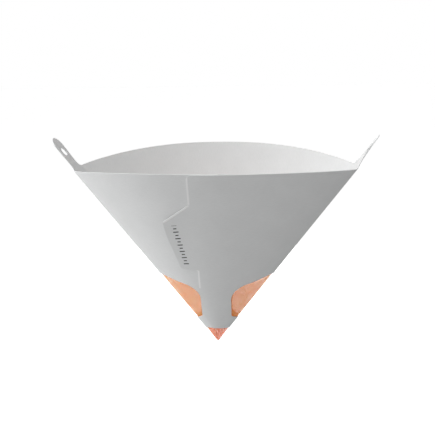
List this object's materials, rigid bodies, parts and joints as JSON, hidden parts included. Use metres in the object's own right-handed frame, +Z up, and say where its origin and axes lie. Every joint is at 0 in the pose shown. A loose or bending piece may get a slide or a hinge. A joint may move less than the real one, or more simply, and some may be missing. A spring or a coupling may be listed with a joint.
{
  "type": "paper cone paint strainer",
  "caption": "Disposable paper cone with a fine mesh filter in its side windows and tip, and two holed ears to hang it by. Liquid poured in at the top runs out filtered.",
  "frame": {"origin": "middle of the line between the two ear holes, which the strainer hangs by", "axes": "+X from the left ear to the right ear as seen from the front, +Y towards the back, +Z up out of the mouth; the tip points down"},
  "size_m": [0.2022, 0.1109, 0.1386],
  "materials": {
    "paper": "matt white board",
    "mesh": "fine orange nylon mesh"
  },
  "bodies": {
    "root": {"paper_cone": "paper", "mesh_filter": "mesh"}
  },
  "joints": []
}
